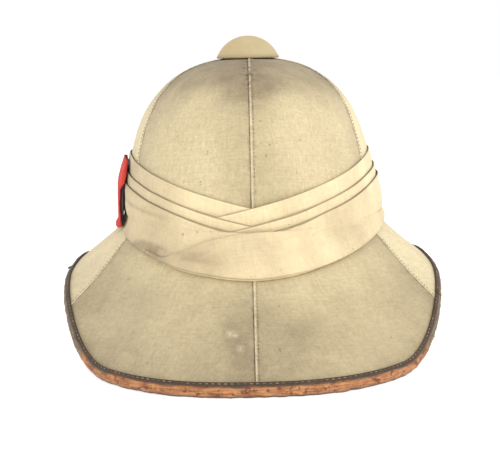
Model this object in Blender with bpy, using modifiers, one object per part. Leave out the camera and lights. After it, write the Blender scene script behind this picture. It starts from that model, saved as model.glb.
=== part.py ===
"""Pith helmet, cloth covered, resting on the floor on its rear and front brim edges.

+Z is up and +Y is the helmet's front. Azimuths run from the rear centre (-Y), positive toward
+X, the wearer's right. Every layer is the outside of the cork body moved out along its normal,
at shared azimuth stations, so that the faceted layers keep their small gap everywhere.
"""
import math

import bmesh
import bpy
import numpy as np

# Crown of the cork body
CROWN_WIDTH = 0.188
CROWN_REAR = 0.121
CROWN_FRONT = 0.115
CROWN_FOOT = 0.092
CROWN_RISE = 0.1145
CROWN_CURVE = 2.55
# Brim of the cork body, reaches from the crown's axis
BRIM_SIDE = 0.139
BRIM_REAR = 0.207
BRIM_FRONT = 0.180
BRIM_CURVE = {"rear": 2.5, "front": 2.3}
BRIM_SLOPE = {"rear": 52.0, "side": 36.0, "front": 40.0}
BRIM_ARCH = 0.040
ARCH_START = 0.5
BRIM_FILLET = {"rear": 0.021, "side": 0.008, "front": 0.021}
BRIM_TAIL = 0.016
# Cork, cloth, leather
WALL = 0.0065
GAP = 0.0003
COVER = 0.0010
FOLD = 0.0015
LEATHER = 0.0013
FLANGE = 0.0020
# Clearance between the leather and the cloth and cork that it wraps
EASE = 0.00048
# Seams between the cloth gores
SIDE_SEAM = 56.0
CROWN_LEAN = 16.0
BRIM_LEAN = -2.5
# Shares of the surface where the lean of the seams starts, and over which it grows
CROWN_LEAN_SPAN = (0.75, 0.55)
BRIM_LEAN_SPAN = (1.3, 0.4)
# Wound band: height of each fold line at the rear centre, and its rise to the sides
FOLD_LINES = ((0.107, 0.031), (0.095, 0.031), (0.088, 0.031))
BAND_FOOT = {"rear": 0.060, "front": 0.066}
BAND_FOOT_RISE = 0.020
BAND_FOOT_CURVE = 1.6
FOLD_LAP = 0.005
TAIL_STEEPER = 1.25
BAND_BULGE = {"left": 0.001, "right": 0.0045}
# Ventilator
VENT_HOLE = 0.009
COVER_HOLE = 0.0145
CAP_WIDTH = 0.0484
CAP_HEIGHT = 0.0170
CAP_SHELL = 0.002
CAP_LIFT = 0.0002
# Flash on the wearer's left
FLASH_AZIMUTH = -76.0
FLASH_WIDTH = 0.038
FLASH_CLOTH = 0.001
FLASH_HANG = 0.008

PITCH = FOLD + GAP
COVER_OUT = GAP + COVER
NOSE = (WALL + COVER_OUT) / 2 + EASE + LEATHER
MID = (WALL - COVER_OUT) / 2
FACET = math.radians(20.0)
REAR_STEPS, SIDE_STEPS = 7, 8
HALF = REAR_STEPS * 2 + SIDE_STEPS
CROWN_ROWS, BRIM_ROWS = 6, 4
# Rows of the lower wrap: shares of its height, how proud it stands, how full it bulges
WRAP_ROWS = (0.45, 0.72, 1.0)
WRAP_STAND = (1.0, 1.0, 0.85, 0.5, 0.0)
WRAP_BULGE = {"left": (0.0, 0.5, 1.0, 0.75, 0.0), "right": (0.0, 0.1, 0.5, 1.0, 0.8)}
# Folds cross fully within this many degrees of the centre, and part over the next ones
CROSS_HALF = 10.0
CROSS_FADE = 16.0
# Pitches between one fold and the next where they cross, and under the right wrap's tail
CROSS_STAND = 1.0
TAIL_STAND = 1.25
# Flash: row of the band's surface, then the half widths of backing and patch there as shares
FLASH_TABLE = ((0.25, 0.5, 0.45), (1, 1.0, 1.0), (2, 1.0, 0.9), (3, 1.0, 0.75), (4, 1.0, 0.52),
               (5.8, 1.0, 0.95), (6.2, 0.5, 0.4))
# Pitches out at which the flash lies over the fold lines, the second one above the lapped edge
FLASH_LEVELS = (1.0, 2.25, 3.0)
# Segments of the domed cap, and those at which its hollow underside has its corners
CAP_ROWS = 5
HOLLOW_ROWS = (4.9, 4, 3)
# Shares of the surface between which a height is looked for, and where the flange's start is
SEARCH = (0.3, 1.8)
FLANGE_SHARE = 1.95
CORK_SHADE = (0.62, 0.50, 0.34)
REAR_SHADE = (0.62, 0.50, 0.32)
SIDE_SHADE = (0.68, 0.56, 0.36)
BAND_SHADE = (0.83, 0.71, 0.49)
LEATHER_SHADE = (0.30, 0.15, 0.07)
CAP_SHADE = (0.62, 0.53, 0.35)
BLACK_SHADE = (0.012, 0.011, 0.012)
RED_SHADE = (0.60, 0.07, 0.05)
LEATHER_ROUGHNESS = 0.7
CAP_ROUGHNESS = 0.6


def smooth(u):
    """0 to 1 with level ends."""
    u = np.clip(u, 0.0, 1.0)
    return u * u * (3.0 - 2.0 * u)


def azimuth(k):
    """Azimuth in radians of station k, 0 at the rear centre, HALF at the front centre."""
    k = np.asarray(k)
    n = np.abs(k)
    n = np.where(n > HALF, 2 * HALF - n, n).astype(float)
    corners = [0, REAR_STEPS, REAR_STEPS + SIDE_STEPS, HALF]
    a = np.radians(np.interp(n, corners, [0.0, SIDE_SEAM, 180.0 - SIDE_SEAM, 180.0]))
    return np.sign(k) * np.where(np.abs(k) > HALF, 2 * math.pi - a, a)


def oval(t, side, rear, front, curve):
    """Radius at azimuth t of an oval with its own rear and front reach."""
    s, c = np.abs(np.sin(t)), np.cos(t)
    reach = np.where(c > 0, rear, front)
    return ((s / side) ** curve + (np.abs(c) / reach) ** curve) ** (-1.0 / curve)


def crown_radius(t):
    return oval(t, CROWN_WIDTH / 2, CROWN_REAR, CROWN_FRONT, 2.0)


def by_direction(t, sizes):
    """A size that has its own value at the rear, the sides and the front, blended between."""
    s2 = np.sin(t) ** 2
    end = np.where(np.cos(t) > 0, sizes["rear"], sizes["front"])
    return end * (1 - s2) + sizes["side"] * s2


def slope(t):
    """Angle below level at which the brim reaches its edge."""
    return np.radians(by_direction(t, BRIM_SLOPE))


def edge_mid_height(t):
    """Height of the middle of the edge: level at rear and front, arched up at the sides."""
    side = smooth((np.abs(np.sin(t)) - ARCH_START) / (1 - ARCH_START))
    return NOSE * math.cos(FACET) + BRIM_ARCH * side


def leaned(t, v):
    """Azimuth of the seam line t at share v: out to the sides on the crown, back on the brim."""
    up, down = (CROWN_LEAN_SPAN[0] - v) / CROWN_LEAN_SPAN[1], (v - BRIM_LEAN_SPAN[0]) / BRIM_LEAN_SPAN[1]
    lean = CROWN_LEAN * smooth(up) + BRIM_LEAN * smooth(down)
    return t + math.radians(1.0) * lean * np.sin(2 * t)


def point(t, v):
    """Outside of the cork body at azimuth t, crown for v from 0 to 1, brim from 1 to 2."""
    t, v = np.broadcast_arrays(np.asarray(t, float), np.asarray(v, float))
    t = leaned(t, v)
    foot = crown_radius(t)
    a = np.clip(v, 0.0, 1.0) * math.pi / 2
    crown_r = foot * np.sin(a) ** (2 / CROWN_CURVE)
    crown_z = CROWN_FOOT + CROWN_RISE * np.abs(np.cos(a)) ** (2 / CROWN_CURVE)
    curve = np.where(np.cos(t) > 0, BRIM_CURVE["rear"], BRIM_CURVE["front"])
    edge = oval(t, BRIM_SIDE, BRIM_REAR, BRIM_FRONT, curve)
    b = slope(t)
    edge_z = edge_mid_height(t) + MID * np.cos(b)
    w = np.clip(v - 1, 0.0, None)
    k = ((1 - w) ** 3, 3 * w * (1 - w) ** 2, 3 * w * w * (1 - w), w ** 3)
    brim_r = (k[0] + k[1]) * foot + k[2] * (edge - BRIM_TAIL * np.cos(b)) + k[3] * edge
    brim_z = (k[0] * CROWN_FOOT + k[1] * (CROWN_FOOT - by_direction(t, BRIM_FILLET))
              + k[2] * (edge_z + BRIM_TAIL * np.sin(b)) + k[3] * edge_z)
    r = np.where(v <= 1, crown_r, brim_r)
    z = np.where(v <= 1, crown_z, brim_z)
    return np.stack([r * np.sin(t), -r * np.cos(t), z], axis=-1)


def normal(t, v):
    """Unit normal of the cork body's outside, pointing out."""
    e = 1e-4
    along = point(t + e, v) - point(t - e, v)
    down = point(t, v + e) - point(t, v - e)
    n = np.cross(down, along)
    return n / np.linalg.norm(n, axis=-1, keepdims=True)


def layer(t, v, out):
    """Points a distance out from the cork body's outside."""
    out = np.broadcast_to(np.asarray(out, float), np.broadcast(t, v).shape)
    return point(t, v) + normal(t, v) * out[..., None]


def share_at_radius(t, r):
    """Share v of the crown where it is r from the axis."""
    foot = crown_radius(leaned(t, 0.0))
    return np.arcsin((r / foot) ** (CROWN_CURVE / 2)) * 2 / math.pi


def share_at_height(t, z):
    """Share v where the body's outside is at height z, by halving."""
    low, high = (np.full(np.shape(t), share) for share in SEARCH)
    for _ in range(40):
        mid = (low + high) / 2
        above = point(t, mid)[..., 2] > z
        low, high = np.where(above, mid, low), np.where(above, high, mid)
    return (low + high) / 2


def band_heights(t):
    """Heights of the band's rows: fold lines, their lapped lower edges, the wrap down to its foot."""
    line = [height + rise * np.abs(np.sin(t)) for height, rise in FOLD_LINES]
    base = np.where(np.cos(t) > 0, BAND_FOOT["rear"], BAND_FOOT["front"])
    blend = smooth(np.abs(np.sin(t)))
    middle = (BAND_FOOT["rear"] + BAND_FOOT["front"]) / 2
    foot = base * (1 - blend) + middle * blend + BAND_FOOT_RISE * np.abs(np.sin(t)) ** BAND_FOOT_CURVE
    rows = [line[0], line[1], line[1] - FOLD_LAP, line[2], line[2] - FOLD_LAP]
    rows += [line[2] + share * (foot - line[2]) for share in WRAP_ROWS]
    return np.array(rows)


def crossing(t):
    """1 where the folds cross at the rear and front centre, 0 at the sides."""
    off = np.degrees(np.minimum(np.abs(t), math.pi - np.abs(t)))
    return 1 - smooth((off - CROSS_HALF) / CROSS_FADE)


def mesh_object(name, verts, faces, colour, roughness=0.9, edges=()):
    mesh = bpy.data.meshes.new(name)
    mesh.from_pydata([tuple(p) for p in verts], edges, faces)
    bm = bmesh.new()
    bm.from_mesh(mesh)
    bmesh.ops.remove_doubles(bm, verts=bm.verts, dist=1e-5)
    bm.to_mesh(mesh)
    bm.free()
    obj = bpy.data.objects.new(name, mesh)
    HELMET.objects.link(obj)
    mat = bpy.data.materials.new(name)
    mat.use_nodes = True
    shader = mat.node_tree.nodes["Principled BSDF"]
    shader.inputs["Base Color"].default_value = (*colour, 1.0)
    shader.inputs["Roughness"].default_value = roughness
    mesh.materials.append(mat)
    return obj


def sheet(name, grid, thickness, colour, closed=False, roughness=0.9):
    """Open surface through a grid of outer points, rows downward, thickened inward."""
    grid = grid + np.array([0.0, SHIFT, 0.0])
    rows, cols = grid.shape[:2]
    faces = []
    for i in range(rows - 1):
        for j in range(cols if closed else cols - 1):
            k = (j + 1) % cols
            faces.append((i * cols + j, (i + 1) * cols + j, (i + 1) * cols + k, i * cols + k))
    obj = mesh_object(name, grid.reshape(-1, 3), faces, colour, roughness)
    wall = obj.modifiers.new("thickness", "SOLIDIFY")
    wall.thickness = thickness
    wall.offset = -1.0
    wall.use_even_offset = True
    return obj


def skin_shares(t, first):
    """Rows of a skin that lies on the body: crown, band rows, brim."""
    band = [share_at_height(t, z) for z in band_heights(t)[[0, 1, 3, 4, 5, 6, 7]]]
    crown = [first + (band[0] - first) * i / CROWN_ROWS for i in range(CROWN_ROWS)]
    brim = [band[-1] + (2.0 - band[-1]) * i / BRIM_ROWS for i in range(1, BRIM_ROWS + 1)]
    return np.array(crown + band + brim)


def edge_rows(t):
    """Outer rows of the leather: upper flange, round nose with a level facet below, lower flange."""
    back = np.full(t.shape, FLANGE_SHARE)
    for _ in range(4):
        back = 2.0 - (2.0 - back) * FLANGE / np.linalg.norm(point(t, 2.0) - point(t, back), axis=-1)
    n = normal(t, 1.9999)
    tangent = point(t + 1e-4, 2.0) - point(t - 1e-4, 2.0)
    out = np.cross(tangent, n)
    out /= np.linalg.norm(out, axis=-1, keepdims=True)
    mid = point(t, 2.0) - MID * n
    mid[:, 2] = edge_mid_height(leaned(t, 2.0))
    down = np.arctan2(-n[:, 2], -out[:, 2])
    high = down + FACET
    rows = [layer(t, back, COVER_OUT + EASE + LEATHER)]
    for a in (np.full(t.shape, math.pi / 2), (math.pi / 2 + high) / 2, high, down - FACET,
              np.full(t.shape, -math.pi / 2)):
        rows.append(mid + NOSE * (np.cos(a)[:, None] * out + np.sin(a)[:, None] * n))
    rows.append(layer(t, back, -WALL - EASE - LEATHER))
    return np.array(rows)


def band_piece(fold, side, stations):
    """One fold of the band, on its own side and past the centre under or over the other side."""
    t = azimuth(stations)
    z = band_heights(t)
    past = np.where(np.sin(t) * side < 0, TAIL_STEEPER if fold == 2 else 1.0, 1.0)
    height, rise = FOLD_LINES[fold]
    own = height + side * past * rise * np.sin(t)
    cross = crossing(t)
    right = side > 0
    over = np.where(np.sin(t) > 1e-6, cross, 1.0) * TAIL_STAND * right
    order = 2 * fold + (right and fold < 2)
    stand = fold + cross * (order * CROSS_STAND - fold)
    if fold == 2:
        rows, levels = [3, 4, 5, 6, 7], [1 + stand * share + over for share in WRAP_STAND]
    else:
        rows, levels = ([0, 1, 3], [1, 3, 4])[fold], [1 + stand] * 3
    loose = np.where(np.sin(t) > 0, 1 - cross, 0.0)
    grid = []
    for i, (row, level) in enumerate(zip(rows, levels)):
        left, right_side = (BAND_BULGE[hand] * WRAP_BULGE[hand][i] for hand in ("left", "right"))
        bulge = left + (right_side - left) * loose if fold == 2 else 0.0
        grid.append(layer(t, share_at_height(t, z[row]), COVER_OUT + level * PITCH + bulge))
    grid, lap, z = np.array(grid), z[2], z[rows]
    if fold == 0:
        grid[2] += (grid[1] - grid[2]) * ((lap - z[2]) / (z[1] - z[2]))[:, None]
        z[2] = lap
    top = np.maximum(np.minimum(own, z[0]), z[-1] + GAP * 3)
    return clip_rows(grid, z, top)


def clip_rows(grid, z, top):
    """Pull the rows that lie above top down to it, along the straight facets between the rows."""
    out = grid.copy()
    for j in range(grid.shape[1]):
        heights = z[::-1, j]
        at = [np.interp(top[j], heights, grid[::-1, j, a]) for a in range(3)]
        for i in range(grid.shape[0] - 1):
            if z[i, j] > top[j]:
                out[i, j] = at
    return out


for old in list(bpy.data.objects):
    bpy.data.objects.remove(old, do_unlink=True)
HELMET = bpy.data.collections.new("pith_helmet")
bpy.context.scene.collection.children.link(HELMET)

RING = azimuth(np.arange(-HALF, HALF))
leather_rows = edge_rows(RING)
SHIFT = -(leather_rows[..., 1].min() + leather_rows[..., 1].max()) / 2

# Cork body: hollow, open below, with the vent hole at the top
hole = share_at_radius(RING, VENT_HOLE)
shares = skin_shares(RING, share_at_radius(RING, COVER_HOLE))
shares = np.vstack([hole[None], shares])
sheet("cork_body", layer(RING[None] + 0 * shares, shares, 0.0), WALL, CORK_SHADE, closed=True)

# Cloth gores: six, from the vent to the edge, parted by the seams
GORES = {
    "cover_rear_right": (0, REAR_STEPS), "cover_rear_left": (-REAR_STEPS, 0),
    "cover_side_right": (REAR_STEPS, REAR_STEPS + SIDE_STEPS),
    "cover_side_left": (-REAR_STEPS - SIDE_STEPS, -REAR_STEPS),
    "cover_front_right": (REAR_STEPS + SIDE_STEPS, HALF),
    "cover_front_left": (-HALF, -REAR_STEPS - SIDE_STEPS),
}
for name, (first, last) in GORES.items():
    t = azimuth(np.arange(first, last + 1))
    v = skin_shares(t, share_at_radius(t, COVER_HOLE))
    grid = layer(t[None] + 0 * v, v, COVER_OUT)
    for column, inner in ((0, 1), (-1, -2)):
        away = grid[:, inner] - grid[:, column]
        grid[:, column] += away / np.linalg.norm(away, axis=-1, keepdims=True) * GAP / 2
    shade = SIDE_SHADE if "side" in name else REAR_SHADE
    sheet(name, grid, COVER, shade)

# Wound band: three folds a side, each lapping the one before, crossing at rear and front
for fold, label in enumerate(("top", "middle", "lower")):
    for side, hand in ((-1, "left"), (1, "right")):
        reach = 4 if fold == 2 and side > 0 else 1
        stations = np.arange(-reach, HALF + reach + 1) * side
        grid = band_piece(fold, side, stations)
        if side < 0:
            grid = grid[:, ::-1]
        sheet("band_%s_%s" % (label, hand), grid, FOLD, BAND_SHADE)

# Leather binding over the edge
sheet("edge_binding", leather_rows, LEATHER, LEATHER_SHADE, closed=True,
      roughness=LEATHER_ROUGHNESS)

# Ventilator: domed cap on a plain stem that fills the vent hole
top = CROWN_FOOT + CROWN_RISE
rim = top + COVER_OUT + CAP_LIFT
half = CAP_WIDTH / 2
ball = (half ** 2 + CAP_HEIGHT ** 2) / (2 * CAP_HEIGHT)
ball_mid = rim + CAP_HEIGHT - ball
spread = math.asin(half / ball)
turn = spread / CAP_ROWS
outer = [(ball * math.sin(turn * i), ball_mid + ball * math.cos(turn * i)) for i in range(CAP_ROWS + 1)]
hollow = ball - CAP_SHELL
inner = [(hollow * math.sin(turn * i), ball_mid + hollow * math.cos(turn * i)) for i in HOLLOW_ROWS]
collar = COVER_HOLE - GAP * 2
stem = VENT_HOLE - 2 * GAP
profile = outer + inner + [(collar, top + GAP), (stem, top + GAP), (stem, top - WALL),
                           (0.0, top - WALL)]
cap = mesh_object("vent_cap", [(x, 0.0, z) for x, z in profile], [], CAP_SHADE, CAP_ROUGHNESS,
                  edges=[(i, i + 1) for i in range(len(profile) - 1)])
cap.location = (0.0, SHIFT, 0.0)
spin = cap.modifiers.new("turn", "SCREW")
spin.angle = 2 * math.pi
spin.steps = spin.render_steps = 24
spin.use_merge_vertices = True
spin.merge_threshold = 0.0001

# Flash: black backing over the band's folds, red patch with hollowed sides on it
def flash_points(across, out):
    """Points of the flash on the facets of the folds it lies on; across is in half widths."""
    t = math.radians(FLASH_AZIMUTH) + across * FLASH_WIDTH / CROWN_WIDTH
    levels = np.array(FLASH_LEVELS + tuple(1 + 2 * s for s in WRAP_STAND[1:]) + (1.0,))
    bulges = np.array((0.0, 0.0, 0.0) + WRAP_BULGE["left"][1:] + (0.0,))
    stand = COVER_OUT + levels * PITCH + bulges * BAND_BULGE["left"] + out
    grid = np.empty(t.shape + (3,))
    for i, j in np.ndindex(t.shape):
        z = band_heights(t[i, j])[[0, 1, 3, 4, 5, 6, 7]]
        z = np.append(z, z[-1] - FLASH_HANG)
        row = FLASH_TABLE[i][0]
        near = int(row)
        ends = [layer(t[i, j], share_at_height(t[i, j], z[n]), stand[n]) for n in (near, near + 1)]
        grid[i, j] = ends[0] + (ends[1] - ends[0]) * (row - near)
    return grid


cloths = (("flash_backing", 1, 6, BLACK_SHADE), ("flash_patch", 2, 5, RED_SHADE))
for name, column, columns, colour in cloths:
    widths = np.array([row[column] for row in FLASH_TABLE])[:, None]
    grid = flash_points(np.linspace(-1, 1, columns) * widths, column * (FLASH_CLOTH + 2 * GAP))
    sheet(name, grid, FLASH_CLOTH, colour)
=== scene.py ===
"""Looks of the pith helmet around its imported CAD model: cork shell, six cloth gores, a wound
cotton band, a leather bound edge, a domed ventilator and a red flash, seen from behind.
"""
import math

import bpy
import numpy as np
from mathutils import Matrix, Vector


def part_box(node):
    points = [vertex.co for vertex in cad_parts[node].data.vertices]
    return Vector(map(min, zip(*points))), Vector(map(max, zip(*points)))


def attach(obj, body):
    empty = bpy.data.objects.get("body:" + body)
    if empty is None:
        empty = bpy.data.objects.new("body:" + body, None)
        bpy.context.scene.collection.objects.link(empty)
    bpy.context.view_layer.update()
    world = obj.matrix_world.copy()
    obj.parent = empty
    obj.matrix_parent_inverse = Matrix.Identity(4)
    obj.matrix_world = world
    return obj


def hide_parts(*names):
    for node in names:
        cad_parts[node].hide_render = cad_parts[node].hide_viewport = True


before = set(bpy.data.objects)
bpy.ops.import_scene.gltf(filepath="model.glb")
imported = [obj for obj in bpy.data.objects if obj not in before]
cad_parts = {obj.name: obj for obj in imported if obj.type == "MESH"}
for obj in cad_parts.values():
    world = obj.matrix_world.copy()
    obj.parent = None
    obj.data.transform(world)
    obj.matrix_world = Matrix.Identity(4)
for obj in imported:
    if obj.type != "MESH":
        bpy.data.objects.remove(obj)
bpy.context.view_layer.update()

scene = bpy.context.scene
link = scene.collection.objects.link

# The view. A long lens a little above the brim looks at the back of the helmet, which stands on
# a plain white table under a wide, even, white light with a slightly stronger side on the right.
PHOTO_WIDTH = 500
FOCAL_PIXELS = 1120.0
SENSOR = 36.0
EYE_DISTANCE = 0.88
EYE_HEIGHT = 0.216
AIM_HEIGHT = 0.076
YAW = math.radians(0.3)
ROLL = math.radians(-1.1)
SIDE_SHIFT = -1.0 / PHOTO_WIDTH
SKY = 1.0
TABLE_SHADE = 0.62
TABLE_GLOW = 0.7
LAMP_AIM_HEIGHT = 0.1

low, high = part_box("vent_cap")
AXIS_Y = (low.y + high.y) / 2

lens = bpy.data.cameras.new("view")
lens.sensor_width = SENSOR
lens.lens = SENSOR * FOCAL_PIXELS / PHOTO_WIDTH
lens.shift_x = SIDE_SHIFT
eye = bpy.data.objects.new("view", lens)
link(eye)
place = Vector((-EYE_DISTANCE * math.sin(YAW), AXIS_Y - EYE_DISTANCE * math.cos(YAW), EYE_HEIGHT))
ahead = (Vector((0.0, AXIS_Y, AIM_HEIGHT)) - place).normalized()
right = ahead.cross(Vector((0.0, 0.0, 1.0))).normalized()
up = right.cross(ahead)
right_rolled = right * math.cos(ROLL) + up * math.sin(ROLL)
up_rolled = up * math.cos(ROLL) - right * math.sin(ROLL)
turn = Matrix((right_rolled, up_rolled, -ahead)).transposed().to_4x4()
eye.matrix_world = Matrix.Translation(place) @ turn
scene.camera = eye
scene.view_settings.view_transform = "Standard"

world = bpy.data.worlds.new("white_room")
world.use_nodes = True
sky = world.node_tree.nodes["Background"].inputs
sky["Color"].default_value = (1.0, 1.0, 1.0, 1.0)
sky["Strength"].default_value = SKY
scene.world = world

# Name, place, size across, power and colour of each lamp
LAMPS = (
    ("right_softbox", (0.75, -0.75, 0.75), 0.9, 5.0, (1.0, 0.98, 0.94)),
    ("left_softbox", (-0.9, -0.6, 0.55), 0.9, 1.5, (1.0, 0.99, 0.97)),
)
for name, where, size, watts, glow in LAMPS:
    lamp = bpy.data.lights.new(name, "AREA")
    lamp.size = size
    lamp.energy = watts
    lamp.color = glow
    holder = bpy.data.objects.new(name, lamp)
    link(holder)
    holder.location = where
    aim = Vector((0.0, AXIS_Y, LAMP_AIM_HEIGHT)) - Vector(where)
    holder.rotation_mode = "QUATERNION"
    holder.rotation_quaternion = aim.to_track_quat("-Z", "Y")


class Value:
    """One number at a point of a material; arithmetic on it adds Math nodes to that material."""

    def __init__(self, finish, socket):
        self.finish, self.socket = finish, socket

    def math(self, operation, *others):
        return self.finish.node("ShaderNodeMath", {"operation": operation}, *others)

    def __add__(self, other):
        return self.math("ADD", self, other)

    def __sub__(self, other):
        return self.math("SUBTRACT", self, other)

    def __rsub__(self, other):
        return self.math("SUBTRACT", other, self)

    def __mul__(self, other):
        return self.math("MULTIPLY", self, other)

    __radd__ = __add__
    __rmul__ = __mul__

    def sine(self):
        return self.math("SINE", self)

    def capped(self):
        return self.math("MINIMUM", self, 1.0)

    def floored(self):
        return self.math("MAXIMUM", self, 0.0)

    def smoothed(self, low, high):
        """0 at or below low, 1 at or above high, with level ends between."""
        return self.finish.node("ShaderNodeMapRange", {"interpolation_type": "SMOOTHSTEP"},
                                self, low, high)


def tint(red, green, blue):
    """Colour of a paint chip, from 0 to 255 as on a screen, as light: a power of 2.4 of its share."""
    share = np.array((red, green, blue)) / 255.0
    light = np.where(share < 0.04045, share / 12.92, ((share + 0.055) / 1.055) ** 2.4)
    return (*light.tolist(), 1.0)


class Finish:
    """A material for one finish of the helmet, with a Principled shader."""

    def __init__(self, name, **uniform):
        self.material = bpy.data.materials.new(name)
        self.material.use_nodes = True
        self.tree = self.material.node_tree
        self.shader = self.tree.nodes["Principled BSDF"]
        for socket, value in uniform.items():
            self.shader.inputs[socket.replace("_", " ")].default_value = value
        self.place = self.node("ShaderNodeTexCoord", out="Object")

    def node(self, kind, settings=None, *values, out=0, **named):
        """A node of that kind: its settings, then values or links for its sockets. A named pair
        holds the index of a socket whose own name others share, and its value."""
        node = self.tree.nodes.new(kind)
        for key, value in (settings or {}).items():
            setattr(node, key, value)
        sockets = list(enumerate(values)) + [(key.replace("_", " "), v) for key, v in named.items()]
        for key, value in sockets:
            if isinstance(value, tuple) and isinstance(value[0], int):
                key, value = value
            if isinstance(value, Value):
                self.tree.links.new(value.socket, node.inputs[key])
            else:
                node.inputs[key].default_value = value
        return Value(self, node.outputs[out])

    def attribute(self, name):
        return self.node("ShaderNodeAttribute", {"attribute_name": name}, out="Fac")

    def cloth_place(self, across, down):
        """The piece's own UV, in metres, times a scale each way."""
        uv = self.node("ShaderNodeUVMap", {"uv_map": "cloth"})
        return self.node("ShaderNodeVectorMath", {"operation": "MULTIPLY"}, uv, (across, down, 1.0))

    def noise(self, vector, scale, detail=2.0, rough=0.5):
        return self.node("ShaderNodeTexNoise", None, Vector=vector, Scale=scale, Detail=detail,
                         Roughness=rough)

    def blend(self, share, one, other):
        """Colour one, turning to other as share goes from 0 to 1."""
        return self.node("ShaderNodeMix", {"data_type": "RGBA"}, share, one=(6, one), other=(7, other),
                         out=2)

    def shaded(self, colour, factor):
        """Colour made darker or lighter by a number that is 1 where nothing changes."""
        grey = self.node("ShaderNodeCombineColor", None, factor, factor, factor)
        return self.node("ShaderNodeMix", {"data_type": "RGBA", "blend_type": "MULTIPLY"}, 1.0,
                         one=(6, colour), other=(7, grey), out=2)

    def bump(self, height, metres, strength=1.0):
        return self.node("ShaderNodeBump", None, Height=height, Distance=metres, Strength=strength)

    def paint(self, colour, **links):
        self.tree.links.new(colour.socket, self.shader.inputs["Base Color"])
        for socket, value in links.items():
            self.tree.links.new(value.socket, self.shader.inputs[socket.replace("_", " ")])
        return self.material


# The table is a plain white sheet of board, larger than the view. It only carries the helmet.
TABLE_REACH = 6.0
top = bpy.data.meshes.new("table")
corners = [(x * TABLE_REACH, y * TABLE_REACH, 0.0) for x, y in ((-1, -1), (1, -1), (1, 1), (-1, 1))]
top.from_pydata(corners, [], [(0, 1, 2, 3)])
table = bpy.data.objects.new("table", top)
link(table)
board = Finish("white_board", Roughness=0.9, Base_Color=(TABLE_SHADE,) * 3 + (1.0,),
               Emission_Color=(1.0, 1.0, 1.0, 1.0), Emission_Strength=TABLE_GLOW)
top.materials.append(board.material)

# Cork shell. The real one is moulded from ground cork and pith over a block, crown and brim in
# one, 6.5 mm thick, bare inside, with a round vent hole. All the cloth is laid over its outside.

# Crown: width over all, reach behind and before its axis, height of its foot, rise and roundness
CROWN_WIDTH, CROWN_REAR, CROWN_FRONT = 0.188, 0.121, 0.115
CROWN_FOOT, CROWN_RISE, CROWN_CURVE = 0.092, 0.1145, 2.55
# Brim: half width, reach behind and before, roundness of its outline, slopes in degrees, arch of
# its sides, hollows at the crown's foot and length of its straight outer part
BRIM_SIDE, BRIM_REAR, BRIM_FRONT = 0.139, 0.207, 0.180
REAR_CURVE, FRONT_CURVE = 2.5, 2.3
REAR_SLOPE, SIDE_SLOPE, FRONT_SLOPE = 52.0, 36.0, 40.0
BRIM_ARCH, ARCH_START = 0.040, 0.5
END_FILLET, SIDE_FILLET, BRIM_TAIL = 0.021, 0.008, 0.016
# Leans of the side seams on crown and brim: share v where one starts, over what share it grows,
# and its degrees
SEAM_LEANS = ((0.75, -0.55, 16.0), (1.3, 0.4, -2.5))
# Layers: cork wall, air between layers, cloth, leather, and room inside the leather
WALL, GAP, COVER, LEATHER, EASE = 0.0065, 0.0003, 0.0010, 0.0013, 0.00048
COVER_OUT = GAP + COVER
# Radius of the binding's round nose, and depth of its middle under the cork's outside
NOSE = (WALL + COVER_OUT) / 2 + EASE + LEATHER
MID = (WALL - COVER_OUT) / 2
# Angle from straight down to the edges of the facet that the solid nose stands on
LEVEL_FACET = math.radians(20.0)
VENT_HOLE, COVER_HOLE = 0.009, 0.0145
# Dents under the cloth: depth, size across and seed of each kind, and where they start and stop
DENTS = ((0.00028, 0.055, 3), (0.0001, 0.018, 4))
DENTS_FROM, DENTS_TO = (0.12, 0.2), (1.97, -0.25)
# Sine waves in one swell, and the stretch that brings a usual one to about its size
WAVES, WAVE_SPREAD = 28, 1.8


def smooth(u):
    """0 to 1 with level ends: 3 u squared less 2 u cubed, held between 0 and 1."""
    u = np.clip(u, 0.0, 1.0)
    return u * u * (3.0 - 2.0 * u)


def grown(value, start, span, most=1.0):
    """0 up to start, then growing smoothly to the most a span further on; a span below 0 grows
    the other way."""
    return smooth((value - start) / span) * most


def near_line(value, middle, width, most):
    """The most on a line where the value is middle, fading smoothly to 0 a width from it."""
    return smooth(1 - np.abs(value - middle) / width) * most


def oval(t, side, rear, front, curve):
    """Radius at azimuth t of a superellipse with its own rear and front half."""
    s, c = np.abs(np.sin(t)), np.cos(t)
    reach = np.where(c > 0, rear, front)
    return ((s / side) ** curve + (np.abs(c) / reach) ** curve) ** (-1.0 / curve)


def edge_height(t):
    """Height of the middle of the brim's edge: level at rear and front, arched up at the sides."""
    side = grown(np.abs(np.sin(t)), ARCH_START, 1 - ARCH_START)
    return NOSE * math.cos(LEVEL_FACET) + BRIM_ARCH * side


def leaned(t, v):
    """Azimuth of the seam line t at share v: swung to the sides on the crown, back on the brim."""
    lean = sum(grown(v, *one) for one in SEAM_LEANS)
    return t + math.radians(1.0) * lean * np.sin(2 * t)


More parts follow.
